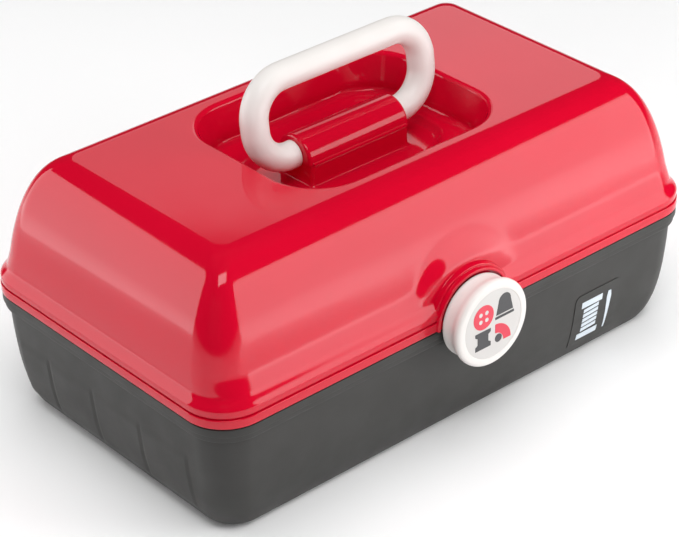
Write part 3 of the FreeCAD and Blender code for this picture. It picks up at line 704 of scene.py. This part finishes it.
# ---------------------------------------------------------------- front badge icon
BADGE_X, BADGE_Z = 94.0, 24.5
BADGE_BAND = 2.0  # height of the bands a print is cut into
BADGE_LIFT = 0.5


def wall_y(z):
    """Front wall of the base at height z, in mm, found by halving."""
    lo, hi = 0.0, 1.0
    for _ in range(40):
        mid = (lo + hi) / 2
        if bez(BASE_SIDE, mid)[1] > z:
            lo = mid
        else:
            hi = mid
    return -(HALF_W - bez(BASE_SIDE, lo)[0])


def badge_shape(name, outline):
    """A pale print that is cut into level bands, so that it can bend with the wall."""
    o = flat_shape(name, outline, 0.0, PALE, "base", (BADGE_X, BADGE_Z), thick=0.2)
    bm = bmesh.new()
    bm.from_mesh(o.data)
    for k in range(-6, 7):
        bmesh.ops.bisect_plane(bm, geom=bm.verts[:] + bm.edges[:] + bm.faces[:],
                               plane_co=(0, 0, (BADGE_Z + BADGE_BAND * k) * MM), plane_no=(0, 0, 1))
    bm.to_mesh(o.data)
    bm.free()
    for vert in o.data.vertices:
        vert.co.y += (wall_y(vert.co.z / MM) - BADGE_LIFT) * MM


badge_shape("badge_spool_top", [(-11.5, 8.6), (-11.5, 12.4), (3.5, 12.4), (3.5, 8.6)])
badge_shape("badge_spool_foot", [(-11.5, -12.4), (-11.5, -8.6), (3.5, -8.6), (3.5, -12.4)])
for i in range(5):
    z = -7.4 + i * 3.1
    badge_shape("badge_thread_%d" % i, [(-9.4, z), (-9.4, z + 2.2), (1.4, z + 2.9), (1.4, z + 0.7)])
badge_shape("badge_needle", [(8.4, -12.4), (7.3, 8.6), (7.9, 12.0), (9.8, 12.0), (10.4, 8.6), (9.3, -12.4)])


# ---------------------------------------------------------------- materials of the CAD nodes
NODE_MATERIALS = {
    "lid_shell": RED, "handle_cap": RED, "base_shell": CHAR, "front_badge": BADGE,
    # the latch face disc gets the darker off-white, painted shade against the bright front strips
    "handle_loop": WHITE, "latch_button": WHITE, "latch_face_disc": SHADED_FACE_WHITE,
    "upper_tray": TRAY, "lower_tray": TRAY, "arm_spacers": TRAY,
    "lid_hinge_pins": STEEL, "latch_pin": STEEL, "handle_cap_screws": STEEL,
}


def dress(name, material):
    o = NODES[name]
    o.data.materials.clear()
    o.data.materials.append(material)
    w = o.modifiers.new("weld", "WELD")
    w.merge_threshold = 1e-6


for name in NODES:
    dress(name, NODE_MATERIALS.get(name, PLATE))


# ---------------------------------------------------------------- floor and light
FLOOR_HALF = 6.0  # in metres


def floor():
    me = bpy.data.meshes.new("floor")
    s = FLOOR_HALF
    me.from_pydata([(-s, -s, 0), (s, -s, 0), (s, s, 0), (-s, s, 0)], [], [(0, 1, 2, 3)])
    m, nt, bsdf, coord = new_mat("paper_floor")
    colour = mix(nt, remap(nt, noise(nt, coord, 3.0), 0, 1), (0.95, 0.95, 0.95), (0.97, 0.97, 0.97))
    nt.links.new(colour, bsdf.inputs["Base Color"])
    bsdf.inputs["Roughness"].default_value = 0.9
    me.materials.append(m)
    o = bpy.data.objects.new("floor", me)
    bpy.context.scene.collection.objects.link(o)


floor()


def card(name, pos, aim, size, radiance, reflect=True):
    """A square-on light card, its brightness given as radiance. The camera doesn't see the card itself."""
    data = bpy.data.lights.new(name, "AREA")
    data.shape = "RECTANGLE"
    data.size, data.size_y = size
    data.energy = math.pi * size[0] * size[1] * radiance
    o = bpy.data.objects.new(name, data)
    d = (Vector(aim) - Vector(pos)).normalized()
    o.matrix_world = Matrix.Translation(pos) @ d.to_track_quat("-Z", "Y").to_matrix().to_4x4()
    o.visible_camera = False
    o.visible_glossy = reflect
    bpy.context.scene.collection.objects.link(o)


def softbox(name, direction, dist, size, radiance, reflect=True):
    """A soft card that faces the middle of the box from that direction."""
    target = Vector((0, 0, 0.09))
    card(name, target + Vector(direction).normalized() * dist, target, size, radiance, reflect)


def upright(name, centre, facing, size, radiance):
    """An upright light panel that faces along a level direction."""
    pos = Vector(centre)
    card(name, pos, pos + Vector((*facing, 0.0)), size, radiance)


world = bpy.data.worlds.new("world")
bpy.context.scene.world = world
world.use_nodes = True
world.node_tree.nodes["Background"].inputs[0].default_value = (1, 1, 1, 1)
world.node_tree.nodes["Background"].inputs[1].default_value = 0.03

# strip at the front right, brightest at mid height
FRONT = (-0.6, 0.8)
upright("front_strip_full", (0.42, -0.55, 0.24), FRONT, (0.50, 0.48), 2.55)
upright("front_strip_low", (0.40, -0.565, 0.22), FRONT, (0.46, 0.44), 2.75)
upright("front_strip_core", (0.34, -0.61, 0.20), FRONT, (0.32, 0.32), 2.9)
# tall panel at the back left
BACK_LEFT = (0.66, -0.75)
upright("left_panel", (-0.50, 0.565, 0.272), BACK_LEFT, (0.52, 0.54), 2.3)
upright("left_panel_low", (-0.50, 0.565, 0.212), BACK_LEFT, (0.50, 0.42), 0.9)
# cards that show on the flat top and on the front corner
softbox("plateau_card", (0.57, 0.69, 0.43), 2.2, (0.95, 0.56), 0.8)
softbox("plateau_card_right", (0.67, 0.63, 0.42), 2.15, (0.45, 0.50), 0.45)
softbox("camera_side", (-0.27, -0.47, 0.84), 2.0, (1.1, 0.6), 4.5)
# soft fill that leaves no reflections
softbox("top_soft", (0.0, 0.0, 1.0), 2.0, (2.4, 2.4), 2.2, reflect=False)
softbox("fill_left", (-0.78, -0.55, 0.31), 2.0, (1.5, 1.1), 1.35, reflect=False)
softbox("fill_front", (0.33, -0.81, 0.48), 2.0, (1.5, 1.1), 0.35, reflect=False)
